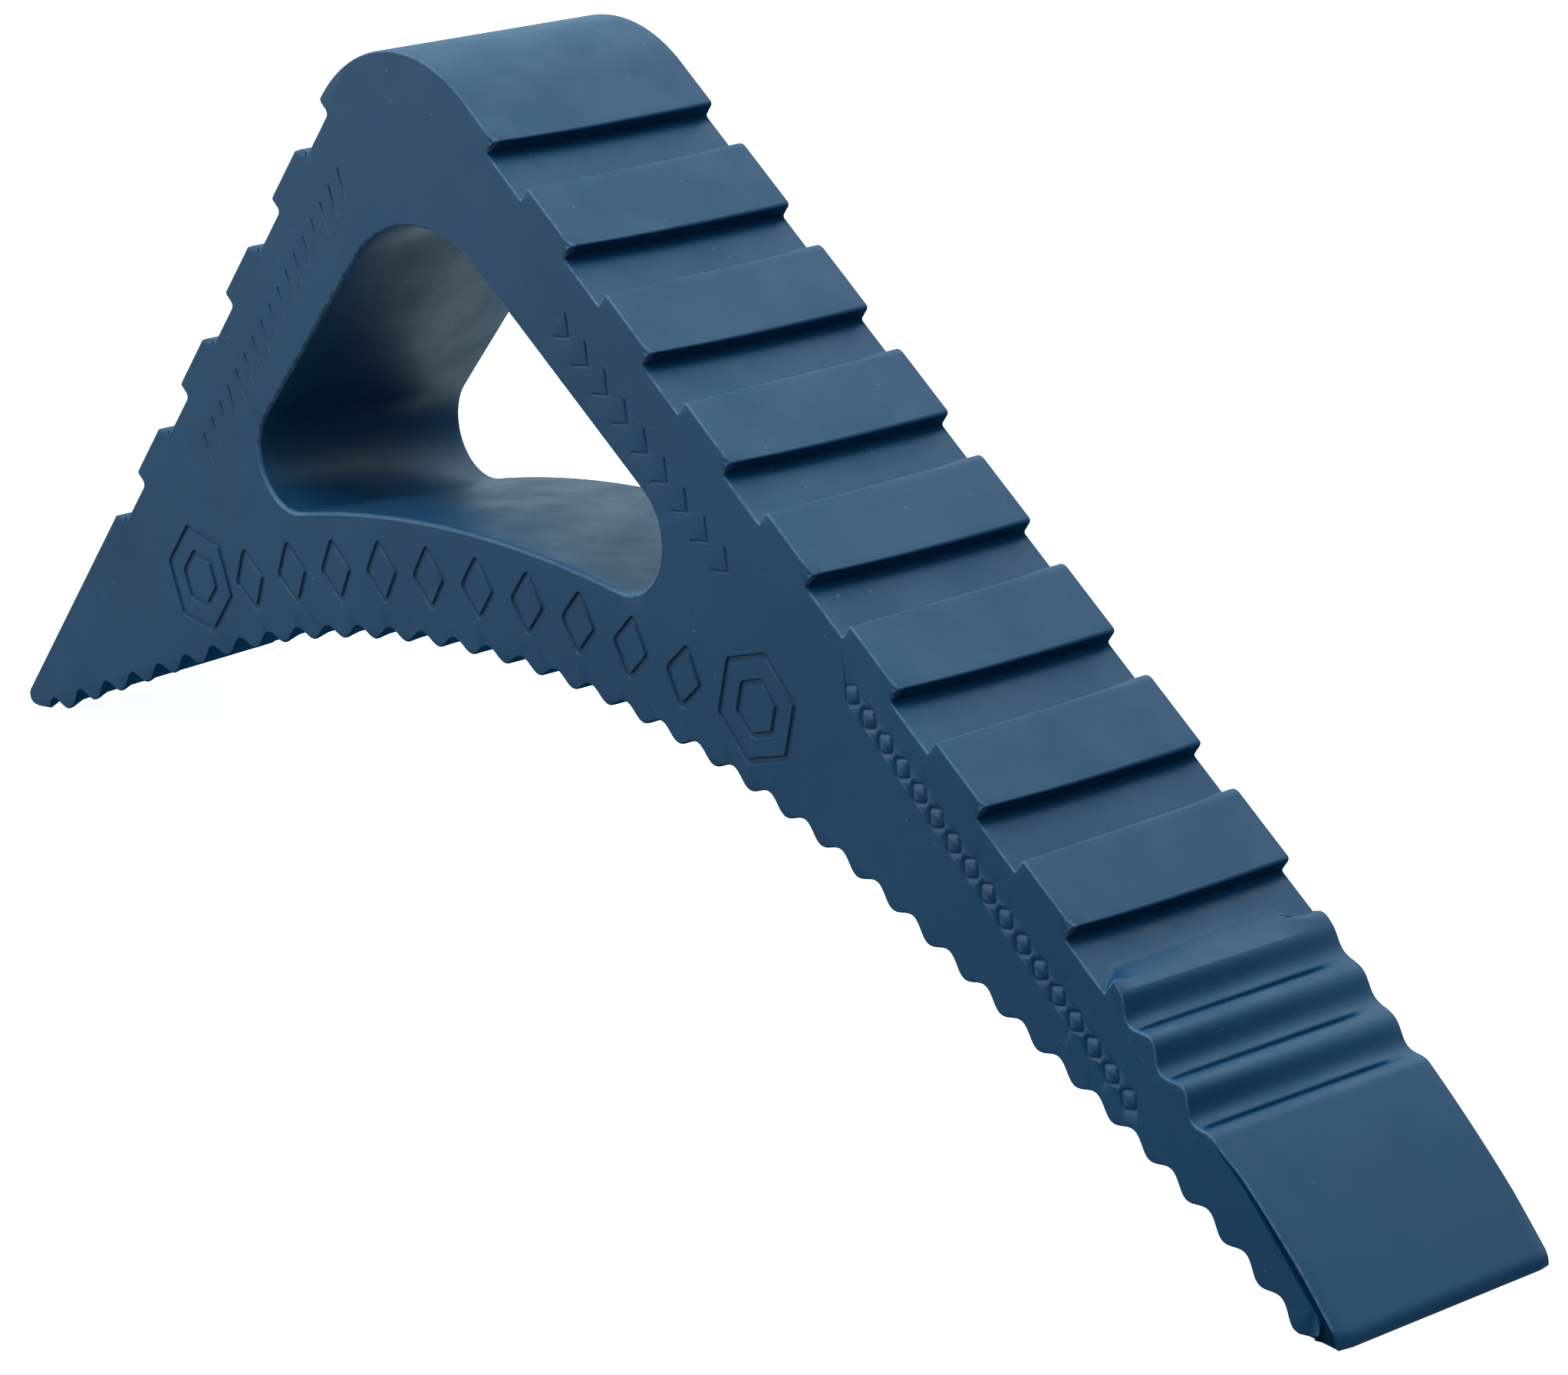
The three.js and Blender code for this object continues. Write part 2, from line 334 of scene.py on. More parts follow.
def fillet(before, corner, after, radius, steps=CORNER_STEPS):
    """The arc that rounds off a corner, which may turn either way."""
    back = (before - corner) / abs(before - corner)
    ahead = (after - corner) / abs(after - corner)
    half = abs(cmath.phase(ahead / back)) / 2
    middle = (back + ahead) / abs(back + ahead)
    centre = corner + middle * radius / math.sin(half)
    start = corner + back * radius / math.tan(half) - centre
    end = corner + ahead * radius / math.tan(half) - centre
    turn = cmath.phase(end / start)
    return centre + start * np.exp(1j * turn * np.linspace(0, 1, steps + 1))


def rounded(corners, before, after):
    """A chain of (corner, radius), rounded off, between two points that it doesn't include.
    A corner with no radius stays one plain point."""
    points = [before] + [c for c, _ in corners] + [after]
    return np.concatenate([
        fillet(points[k], points[k + 1], points[k + 2], radius) if radius else points[k + 1:k + 2]
        for k, (_, radius) in enumerate(corners)
    ])


# The two outer faces, which would meet at the corner above the apex, as in the part's source
heel_down = heading(180 + HEEL_ANGLE)
ramp_down = heading(-RAMP_ANGLE)
corner = -heel_down * HEEL_LENGTH
heel_inward = 1j * heel_down
ramp_inward = -1j * ramp_down


def on_heel(distance, depth=0):
    return corner + heel_down * distance + heel_inward * depth


def on_ramp(distance, depth=0):
    return corner + ramp_down * distance + ramp_inward * depth


arch_start = UNDERSIDE_START + heading(UNDERSIDE_ANGLE) * HEEL_RUN
arch_centre = arch_start - 1j * heading(UNDERSIDE_ANGLE) * UNDERSIDE_RADIUS
arch_length = math.radians(ARCH_TURN) * UNDERSIDE_RADIUS
arch_end_angle = UNDERSIDE_ANGLE - ARCH_TURN
arch_end = arch_centre + 1j * heading(arch_end_angle) * UNDERSIDE_RADIUS
bend_start = arch_end + heading(arch_end_angle) * TONGUE_RUN
bend_centre = bend_start - 1j * heading(arch_end_angle) * UNDERSIDE_RADIUS


def station(s):
    """The point and the heading at length s along the underside's middle line."""
    into_arch = s - HEEL_RUN
    into_tongue = into_arch - arch_length
    into_bend = into_tongue - TONGUE_RUN
    if into_arch < 0:
        return arch_start + heading(UNDERSIDE_ANGLE) * into_arch, heading(UNDERSIDE_ANGLE)
    if into_tongue < 0:
        ahead = heading(UNDERSIDE_ANGLE - math.degrees(into_arch / UNDERSIDE_RADIUS))
        return arch_centre + 1j * ahead * UNDERSIDE_RADIUS, ahead
    if into_bend < 0:
        return arch_end + heading(arch_end_angle) * into_tongue, heading(arch_end_angle)
    ahead = heading(arch_end_angle - math.degrees(into_bend / UNDERSIDE_RADIUS))
    return bend_centre + 1j * ahead * UNDERSIDE_RADIUS, ahead


def ridge_length(n):
    slope = 1 / RIDGE_PITCH_AT_HEEL
    beyond = (math.sqrt(slope**2 + 4 * RIDGE_CLOSING * n) - slope) / (2 * RIDGE_CLOSING)
    return RIDGE_FIRST + beyond


def underside_rise(y):
    """How much higher the heel's underside lies at a distance y from the near face, which has a
    shallow lip below it."""
    lip = UNDERSIDE_DRAFT["lip"] * smooth(0, UNDERSIDE_DRAFT["lip_width"], y)
    return lip + UNDERSIDE_DRAFT["rise"] * y / WIDTH


def underside(y):
    """The ridged underside's points. Near the heel they lie higher away from the near face."""
    points = []
    for i in range(RIDGE_COUNT * WAVE_STEPS + 1):
        n = i / WAVE_STEPS
        near_toe = math.exp(-n / TOE_RIDGES["fade"])
        at, ahead = station(ridge_length(n) + TOE_RIDGES["shift"] * near_toe)
        height = RIDGE_HEIGHT + TOE_RIDGES["rise"] * near_toe
        recess = (1 - math.cos(2 * math.pi * n)) / 2
        drop = height * (1 - recess ** (1 + TOE_RIDGES["broader"] * near_toe)) - RIDGE_HEIGHT / 2
        points.append(at - 1j * ahead * drop)
    points = np.array([p for p in points if p.imag > FLOOR_CLEARANCE])
    raised = 1 - smooth(*UNDERSIDE_DRAFT["fade"], points.real)
    return points + 1j * underside_rise(y) * raised


tip_centre = TIP_X + 1j * TIP_RADIUS
slope_angle = 90 - TONGUE_ANGLE
slope_outward = heading(slope_angle)
slope_centre = tip_centre + slope_outward * (TIP_RADIUS - TONGUE_RADIUS)


def tip_and_slope():
    """The rounded tip and the tongue's bulging slope, from the floor upwards."""
    slope_foot = tip_centre + slope_outward * TIP_RADIUS
    edge_x = TIP_X + TIP_RADIUS
    top = crossing(slope_foot, 1j * slope_outward, edge_x, 1j)
    foot = complex(edge_x, 0)
    start = complex(TIP_X - TIP_FOOT, 0)
    plain = [(start + (foot - start) * share, 0) for share in TIP_FOOT_SHARES]
    tip = rounded(plain + [(foot, TIP_FOOT_ROUNDING)], start - AHEAD, top)
    uphill = slope_foot + 1j * slope_outward * AHEAD
    roll = fillet(foot, top, uphill, TIP_ROUNDING, ROLL_STEPS)
    turn_used = math.degrees(abs(roll[-1] - slope_foot) / TONGUE_RADIUS)
    slope = arc(slope_centre, TONGUE_RADIUS, slope_angle + turn_used, slope_angle + TONGUE_TURN,
                SLOPE_STEPS)
    return tip, roll, slope


TIP, ROLL, SLOPE = tip_and_slope()


# The middles of the thin lines, in ripples up from the slope
line_middles = np.arange(RIPPLE_COUNT) + 0.5 - LINE_BEFORE_TROUGH


def ripple_steps():
    """Where the ripples are sampled, in ripples up from the slope: closely along each line."""
    steps = set(np.round(np.linspace(0, RIPPLE_COUNT, RIPPLE_COUNT * RIPPLE_SAMPLES + 1), 4))
    reach = LINE_REACH * LINE_WIDTH / RIPPLE_PITCH
    for middle in line_middles:
        steps = {n for n in steps if abs(n - middle) > reach}
        steps |= set(np.round(middle + np.linspace(-reach, reach, LINE_SAMPLES), 4))
    return np.array(sorted(steps))[1:]


RIPPLE_STEPS = ripple_steps()


def strength_across(y):
    """How strong the ripples' thin lines are at a distance y from the near face."""
    return smooth(*LINE_NEAR_START, y) * (1 - smooth(*LINE_FAR_END, y))


def ripple_line_columns():
    """Which of the ripples' samples lie on one of the thin lines."""
    aside = abs(RIPPLE_STEPS[:, None] - line_middles[None, :]).min(axis=1) * RIPPLE_PITCH
    return np.flatnonzero(aside < LINE_CORE)


def ripples(y):
    n = RIPPLE_STEPS
    wave = np.cos(2 * np.pi * n)
    depth = RIPPLE_HEIGHT / 2 * (1 - wave)
    crest = (1 + wave) / 2 * smooth(0, 1, n)
    depth = depth - between(CREST_RISE, y / WIDTH) * crest
    for middle in line_middles:
        aside = (n - middle) * RIPPLE_PITCH / LINE_WIDTH
        depth = depth + LINE_DEPTH * strength_across(y) * np.exp(-aside**2)
    uphill = heading(180 - RIPPLE_ANGLE)
    return SLOPE[-1] + uphill * n * RIPPLE_PITCH + 1j * uphill * depth


def riser_bow(y):
    """How far the middle of each riser bulges down the ramp: its ends lie further back."""
    aside = (y - RISER_BOW["middle"]) / RISER_BOW["middle"]
    back = RISER_BOW["near"] if aside < 0 else RISER_BOW["far"]
    return RISER_BOW["bulge"] - back * aside**2


def notch_corners(on_face, row, radii, bow=0, taper=0):
    """One face's notches, away from the apex, as (corner, radius). Plain points stand close to the
    corners, so that a rim can change its size there. bow and taper move a notch's two ends. No
    plain points lie above the heel's first notch, which is close to the apex."""
    low, foot, high_foot, high = radii
    corners = []
    for i in range(row["count"]):
        start = row["first"] + i * row["pitch"] + bow
        end = row["first"] + i * row["pitch"] + NOTCH_LENGTH - taper
        if i or on_face is on_ramp:
            corners += [(on_face(start - guard), 0) for guard in LAND_GUARDS]
        corners += [
            (on_face(start), low),
            (on_face(start, NOTCH_DEPTH), foot),
            (on_face(start + GUARD_DISTANCE, NOTCH_DEPTH), 0),
            (on_face(end - GUARD_DISTANCE, NOTCH_DEPTH), 0),
            (on_face(end, NOTCH_DEPTH), high_foot),
            (on_face(end), high),
            (on_face(end + GUARD_DISTANCE), 0),
        ]
    return corners


def last_hill(y):
    """What ends the last notch, in place of its last four corners: the hill above the ripples."""
    share = y / WIDTH
    last_start = RAMP_NOTCHES["first"] + (RAMP_NOTCHES["count"] - 1) * RAMP_NOTCHES["pitch"]
    end = last_start + NOTCH_LENGTH - HIGH_EDGE_TAPER * share
    away = smooth(*LAST_HILL_FADE, y)
    soft = float(away * (1 - smooth(*LINE_FAR_END, y)))
    return [
        (on_ramp(end - LAST_HILL_SLANT - GUARD_DISTANCE, NOTCH_DEPTH), 0),
        (on_ramp(end - LAST_HILL_SLANT * soft, NOTCH_DEPTH), between(LAST_HILL_FOOT, soft)),
        (on_ramp(end, LAST_HILL_SUNK * soft - between(CREST_RISE, share)),
         between(LAST_HILL_CORNER, away)),
    ]


def profile(y):
    """The outline's points at a distance y from the near face, and where each part of it starts."""
    share = y / WIDTH
    radii = [between(r, share) for r in
             (LAND_LOW_CORNER, NOTCH_FOOT, NOTCH_TOP_FOOT, LAND_HIGH_CORNER)]
    top = ripples(y)
    ramp = notch_corners(on_ramp, RAMP_NOTCHES, radii, riser_bow(y), HIGH_EDGE_TAPER * share)
    ramp[-4:] = last_hill(y)
    apex_tangent = APEX_RADIUS / math.tan(math.radians((180 - HEEL_ANGLE - RAMP_ANGLE) / 2))
    centre = on_ramp(apex_tangent, APEX_RADIUS)
    apex = arc(centre, APEX_RADIUS, 90 - RAMP_ANGLE, 90 + HEEL_ANGLE, APEX_STEPS)
    raised = underside_rise(y)
    heel_radii = [HEEL_LOW_CORNER, HEEL_FOOT, HEEL_FOOT, HEEL_HIGH_CORNER]
    heel = notch_corners(on_heel, HEEL_NOTCHES, heel_radii)
    tangent = TOE_RADIUS / math.tan(math.radians(HEEL_ANGLE / 2))
    toe = arc(tangent + 1j * TOE_RADIUS, TOE_RADIUS, 90 + HEEL_ANGLE, 270, TOE_STEPS)
    toe = toe - heel_down * raised / math.sin(math.radians(HEEL_ANGLE))
    parts = dict(
        underside=underside(y),
        tip=TIP,
        roll=ROLL,
        slope=SLOPE[1:],
        ripples=top,
        ramp=rounded(ramp, apex[0], top[-1])[::-1],
        apex=apex,
        heel=rounded(heel, apex[-1], toe[0]),
        toe=np.append(toe, TOE_FOOT + 1j * raised),
    )
    starts = {}
    count = 0
    for name, points in parts.items():
        starts[name] = count
        count += len(points)
    return np.concatenate(list(parts.values())), starts


def column_values(points, starts):
    """For each column of the outer skin: its rim radius at the near face, and how far the near face
    is set back there, beside and below the tongue's raised plate."""
    rim = np.full(len(points), NEAR_RIM)
    ramp = slice(starts["ramp"], starts["apex"])
    from_corner = (points[ramp] - corner) / ramp_down
    for i in range(RAMP_NOTCHES["count"]):
        start = RAMP_NOTCHES["first"] + i * RAMP_NOTCHES["pitch"] + riser_bow(0)
        close = abs(from_corner.real - start) < RISER_REACH
        rim[ramp][close & (abs(from_corner.imag) < NOTCH_DEPTH / 2)] = NEAR_RIM_AT_RISER
    rim[starts["heel"]:starts["toe"]] = HEEL_NEAR_RIM
    set_back = np.zeros(len(points))
    set_back[starts["tip"] + 1:starts["ripples"]] = PLATE_STEP
    slope = np.arange(starts["slope"], starts["ripples"])
    from_top = (slope[-1] - slope) / len(slope)
    set_back[slope] *= smooth(0, PLATE_FADE, from_top)
    return rim, set_back


def on_risers(points, starts):
    """The columns of the ramp's risers, from below the upper corner to the foot."""
    from_corner = (points - corner) / ramp_down
    chosen = np.zeros(len(points), bool)
    for i in range(RAMP_NOTCHES["count"]):
        start = RAMP_NOTCHES["first"] + i * RAMP_NOTCHES["pitch"] + RISER_BOW["bulge"]
        chosen |= abs(from_corner.real - start) < RISER_BAND["half_length"]
    chosen &= -from_corner.imag > RISER_BAND["top"]
    chosen &= -from_corner.imag < NOTCH_DEPTH + RISER_BAND["below"]
    chosen[:starts["ramp"]] = False
    chosen[starts["apex"]:] = False
    return chosen


def inward_normals(points):
    along = np.roll(points, -1) - np.roll(points, 1)
    return 1j * along / abs(along)


def plan_rounded(points, y):
    """The tongue's end drawn in towards the two side faces, so that it is rounded in plan."""
    edge = TIP_X + TIP_RADIUS
    near, far = TIP_PLAN_RADIUS
    limit = np.zeros(len(points))
    for radius, aside in ((near, near - y), (far, y - (WIDTH - far))):
        inside = np.clip(aside, 0, radius)
        limit = np.maximum(limit, radius - np.sqrt(radius**2 - inside**2))
    start = edge - TIP_PLAN_REACH
    beyond = np.clip(points.real - start, 0, None)
    return points - beyond / TIP_PLAN_REACH * limit


def rows():
    """The rows across the width, as (kind, share): near rim, inner rows and far rim."""
    rim = [k / RIM_ROWS for k in range(RIM_ROWS)]
    near = [("near", share) for share in rim]
    inner = [("inner", k / INNER_ROWS) for k in range(INNER_ROWS + 1)]
    far = [("far", share) for share in rim[::-1]]
    return near + inner + far


def outer_skin():
    """Grid of (x + iz, y), a row for each place across the width."""
    at_near, starts = profile(0)
    rim, set_back = column_values(at_near, starts)
    sections, depths = [], []
    for kind, share in rows():
        quarter = math.radians(90 * share)
        if kind == "near":
            inset = rim * (1 - math.sin(quarter))
            y = rim * (1 - math.cos(quarter)) + set_back
            section = at_near
        elif kind == "inner":
            inset = np.zeros(len(rim))
            low = rim + set_back
            y = low + (WIDTH - FAR_RIM - low) * share
            section = profile(float(np.median(y)))[0]
        else:
            inset = FAR_RIM * (1 - math.sin(quarter)) * np.ones(len(rim))
            y = WIDTH - FAR_RIM * (1 - math.cos(quarter)) * np.ones(len(rim))
            section = profile(WIDTH)[0]
        section = section + inward_normals(section) * inset
        section.imag = np.maximum(section.imag, 0)
        sections.append(plan_rounded(section, y))
        depths.append(y)
    return np.array(sections), np.array(depths), starts


def window_outline(share):
    """The finger window: a rounded triangle, opened up by the mould's draft towards the far face."""
    heel_wall = HEEL_WALL - WINDOW_OPENING["heel"] * share
    ramp_wall = RAMP_WALL - WINDOW_OPENING["ramp"] * share
    up_heel = heading(WINDOW_HEEL_ANGLE)
    up_ramp = heading(180 - WINDOW_RAMP_ANGLE)
    heel_from = on_heel(WINDOW_TOP, heel_wall)
    ramp_from = on_ramp(WINDOW_TOP, ramp_wall)
    floor_centre = arch_centre + WINDOW_FLOOR_SHIFT
    floor_radius = UNDERSIDE_RADIUS + ARCH_WALL - WINDOW_OPENING["floor"] * share

    def heel_side(inside):
        return heel_from - 1j * up_heel * inside

    def ramp_side(inside):
        return ramp_from + 1j * up_ramp * inside

    def leaving_circle(start, ahead, radius):
        offset = (start - floor_centre) / ahead
        return start + ahead * (math.sqrt(radius**2 - offset.imag**2) - offset.real)

    def floor_angle(centre):
        return math.degrees(cmath.phase(centre - floor_centre))

    top = crossing(heel_side(WINDOW_TOP_RADIUS), up_heel, ramp_side(WINDOW_TOP_RADIUS), up_ramp)
    at_heel, at_ramp = WINDOW_LOW_RADII["heel"], WINDOW_LOW_RADII["ramp"]
    low_heel = leaving_circle(heel_side(at_heel), up_heel, floor_radius + at_heel)
    low_ramp = leaving_circle(ramp_side(at_ramp), up_ramp, floor_radius + at_ramp)
    ramp_normal = 90 - WINDOW_RAMP_ANGLE
    heel_normal = 90 + WINDOW_HEEL_ANGLE
    ramp_floor = floor_angle(low_ramp)
    heel_floor = floor_angle(low_heel)
    corners = [
        arc(low_ramp, at_ramp, ramp_floor - 180, ramp_normal, WINDOW_STEPS["low"]),
        arc(top, WINDOW_TOP_RADIUS, ramp_normal, heel_normal, WINDOW_STEPS["top"]),
        arc(low_heel, at_heel, heel_normal, heel_floor + 180, WINDOW_STEPS["low"]),
        arc(floor_centre, floor_radius, heel_floor, ramp_floor, WINDOW_STEPS["floor"])[1:-1],
    ]
    sides = []
    for k, points in enumerate(corners):
        sides.append(points)
        if k < 2:
            step = corners[k + 1][0] - points[-1]
            sides.append(points[-1] + step * np.linspace(0, 1, WINDOW_STEPS["side"] + 1)[1:-1])
    return np.concatenate(sides)


def window_skin():
    sections, depths = [], []
    for kind, share in rows():
        quarter = math.radians(90 * share)
        inset = 0 if kind == "inner" else WINDOW_RIM * (1 - math.sin(quarter))
        if kind == "near":
            y = WINDOW_RIM * (1 - math.cos(quarter))
        elif kind == "inner":
            y = WINDOW_RIM + (WIDTH - 2 * WINDOW_RIM) * share
        else:
            y = WIDTH - WINDOW_RIM * (1 - math.cos(quarter))
        section = window_outline(y / WIDTH)
        sections.append(section - inward_normals(section) * inset)
        depths.append(np.full(len(section), y))
    return np.array(sections), np.array(depths)


def offset(path, distance, closed=True):
    """The path moved to its left, with mitred corners."""
    ahead = np.roll(path, -1) - path
    ahead = ahead / abs(ahead)
    if not closed:
        ahead[-1] = ahead[-2]
    behind = np.roll(ahead, 1)
    if not closed:
        behind[0] = ahead[0]
    normal = 1j * (ahead + behind) / abs(ahead + behind)
    return path + distance * normal / (normal * np.conj(1j * ahead)).real


def stroke(path, closed, width, depth):
    """The loops of one engraved line, as (points, depth): its edges at the face and its floor."""
    loops = []
    for half, level in ((width / 2, 0), (width / 2 - MARK_WALL, depth)):
        if closed:
            loops += [(offset(path, side * half), level) for side in (1, -1)]
            continue
        longer = path.copy()
        longer[0] -= (path[1] - path[0]) / abs(path[1] - path[0]) * half
        longer[-1] += (path[-1] - path[-2]) / abs(path[-1] - path[-2]) * half
        left = offset(longer, half, False)
        right = offset(longer, -half, False)
        loops.append((np.concatenate([left, right[::-1]]), level))
    return loops


def polygon(centre, across, up, sides, turn=0):
    """A rounded polygon. across and up are complex half-sizes along its own axes."""
    angles = np.radians(turn + 360 * np.arange(sides) / sides)
    points = centre + across * np.cos(angles) + up * np.sin(angles)
    around = np.concatenate([points[-1:], points, points[:1]])
    return np.concatenate([
        fillet(around[k], around[k + 1], around[k + 2], MARK_CORNER, MARK_CORNER_STEPS)
        for k in range(sides)
    ])


def marks():
    """Plain engraved patterns: lozenges between two hexagons along the arch, slanted dashes on the
    heel's leg, chevrons beside the window and small lozenges on the ramp's lower part."""
    loops = []
    for k in range(ARCH_MARKS["count"]):
        angle = between(ARCH_MARKS["angles"], k / (ARCH_MARKS["count"] - 1))
        up = heading(angle)
        centre = arch_centre + up * ARCH_MARKS["radius"]
        half_width, half_height = ARCH_MARKS["half_size"]
        lozenge = polygon(centre, -1j * up * half_width, up * half_height, sides=4)
        loops += stroke(lozenge, True, MARK_WIDTH, MARK_DEPTH)
    for angle in END_MARKS["angles"]:
        up = heading(angle)
        centre = arch_centre + up * END_MARKS["radius"]
        for size in END_MARKS["sizes"]:
            hexagon = polygon(centre, -1j * up * size, up * size, sides=6, turn=30)
            loops += stroke(hexagon, True, MARK_WIDTH, MARK_DEPTH)
    for k in range(HEEL_MARKS["count"]):
        distance = between(HEEL_MARKS["run"], k / (HEEL_MARKS["count"] - 1))
        centre = on_heel(distance, HEEL_MARKS["depth"])
        half = heel_down * heading(HEEL_MARKS["slant"]) * HEEL_MARKS["half_length"]
        dash = np.array([centre - half, centre + half])
        loops += stroke(dash, False, FINE_WIDTH, FINE_DEPTH)
    for k in range(SIDE_MARKS["count"]):
        share = k / (SIDE_MARKS["count"] - 1)
        centre = on_ramp(between(SIDE_MARKS["run"], share), between(SIDE_MARKS["depths"], share))
        back = ramp_down * SIDE_MARKS["half_length"]
        aside = 1j * ramp_down * SIDE_MARKS["half_height"]
        chevron = np.array([centre - back + aside, centre + back, centre - back - aside])
        loops += stroke(chevron, False, FINE_WIDTH, FINE_DEPTH)
    for k in range(RAMP_MARKS["count"]):
        share = k / (RAMP_MARKS["count"] - 1)
        centre = on_ramp(between(RAMP_MARKS["run"], share), between(RAMP_MARKS["depths"], share))
        half_length, half_height = RAMP_MARKS["half_size"]
        lozenge = polygon(centre, ramp_down * half_length, 1j * ramp_down * half_height, sides=4)
        loops += stroke(lozenge, True, FINE_WIDTH, FINE_DEPTH)
    return loops


def inside_loop(points, loop):
    """Whether each point lies inside a closed loop."""
    a, b = loop[None, :], np.roll(loop, -1)[None, :]
    p = points[:, None]
    spans = (a.imag > p.imag) != (b.imag > p.imag)
    rise = np.where(spans, b.imag - a.imag, 1)
    hit = a.real + (p.imag - a.imag) * (b.real - a.real) / rise
    return (spans & (p.real < hit)).sum(axis=1) % 2 == 1


class Builder:
    """Collects points (x + iz, y) in millimetres with their attributes, and faces."""

    def __init__(self):
        self.points, self.depths, self.faces = [], [], []
        self.values = {name: [] for name in ATTRIBUTES}

    def add(self, points, depths, **values):
        first = len(self.points)
        self.points += list(points)
        self.depths += list(np.broadcast_to(depths, len(points)))
        for name, stored in self.values.items():
            stored += list(np.broadcast_to(values.get(name, 0.0), len(points)))
        return list(range(first, first + len(points)))

    def grid(self, sections, depths, values):
        """Quads between neighbouring rows, closed around. Returns the rows' point numbers."""
        numbers = [
            self.add(section, depth, **{name: value[k] for name, value in values.items()})
            for k, (section, depth) in enumerate(zip(sections, depths))
        ]
        for low, high in zip(numbers, numbers[1:]):
            for k in range(len(low)):
                self.faces.append((low[k - 1], low[k], high[k], high[k - 1]))
        return numbers

    def fill(self, outline, hole, chains):
        """A side face between the outline and the hole, which are point numbers. chains are other
        point numbers, each with whether it is closed."""
        place_of, edges = {}, []
        for numbers, closed in [(outline, True), (hole, True)] + chains:
            places = [place_of.setdefault(number, len(place_of)) for number in numbers]
            edges += list(zip(places, places[1:]))
            if closed:
                edges.append((places[-1], places[0]))
        ids = list(place_of)
        flat = [Vector((self.points[n].real, self.points[n].imag)) for n in ids]
        kept, _, faces, originals, *_ = delaunay_2d_cdt(flat, edges, [], 0, MERGE_DISTANCE)
        numbers = []
        for place, original in zip(kept, originals):
            if original:
                numbers.append(ids[original[0]])
            else:
                numbers += self.add([complex(*place)], self.depths[outline[0]])
        centres = np.array([sum(complex(*kept[v]) for v in f) / len(f) for f in faces])
        in_outline = inside_loop(centres, np.array([self.points[n] for n in outline]))
        in_hole = inside_loop(centres, np.array([self.points[n] for n in hole]))
        for face, keep in zip(faces, in_outline & ~in_hole):
            if keep:
                self.faces.append(tuple(numbers[v] for v in face))


def plate_edge(starts, skin_numbers, builder, step):
    """A line round the plate: down beside the slope, round its end and out to the underside. It
    starts and ends at the outline. step is 0 for the edge on the face, and 1 for its low wall's
    foot, which lies further out and further back and gets painted shade."""
    aside = PLATE_WALL * step
    reach = TONGUE_RADIUS - PLATE_INSET[1] - PLATE_END_RADIUS
    height = math.sqrt(reach**2 - (PLATE_END_X - slope_centre.real) ** 2)
    end_centre = complex(PLATE_END_X, slope_centre.imag + height)
    low = math.degrees(cmath.phase(end_centre - slope_centre))
    high = slope_angle + TONGUE_TURN - PLATE_START_TURN - PLATE_WALL_TURN * step
    points, depths = [], []
    for angle in np.linspace(high, low, PLATE_STEPS["side"]):
        share = (high - angle) / (high - low)
        inset = between(PLATE_INSET, smooth(0, 1, share)) - aside
        points.append(slope_centre + heading(angle) * (TONGUE_RADIUS - inset))
        depths.append(PLATE_STEP * step * smooth(0, PLATE_FADE, share))
    for angle in np.linspace(low, PLATE_END_ANGLE, PLATE_STEPS["end"])[1:]:
        points.append(end_centre + heading(angle) * (PLATE_END_RADIUS + aside))
        depths.append(PLATE_STEP * step)
    points = np.array(points)
    points.imag = np.maximum(points.imag, PLATE_FLOOR_GAP * (1 + step))
    # The wall's foot gets painted shade
    inner = builder.add(points, np.array(depths), crease=float(step))
    first = starts["ripples"] - 1 - step
    last = starts["tip"] + 1 + step
    return [skin_numbers[first]] + inner + [skin_numbers[last]]


def skin_painted_shade(sections, depths, starts):
    """The outer skin's painted shade: beside and below the plate, in the risers and the thin lines,
    and on the underside, where it also takes the sheen away. On the first and last rows, which the
    side faces share, only the plate's part may be set, because other values would spread over those
    faces."""
    crease = np.zeros(sections.shape)
    beside_plate = slice(starts["tip"] + PLATE_PLAIN_COLUMNS["tip"],
                         starts["ripples"] - PLATE_PLAIN_COLUMNS["top"])
    crease[0, beside_plate] = 1
    middle = sections[len(sections) // 2]
    crease[1:-1, on_risers(middle, starts)] = RISER_SHADE
    line_columns = starts["ripples"] + ripple_line_columns()
    line_rows = np.array([strength_across(float(np.median(y))) for y in depths])
    crease[1:-1, line_columns] = LINE_SHADE * line_rows[1:-1, None]
    crease[1:-1, :starts["tip"]] = UNDERSIDE_SHADE
    return crease


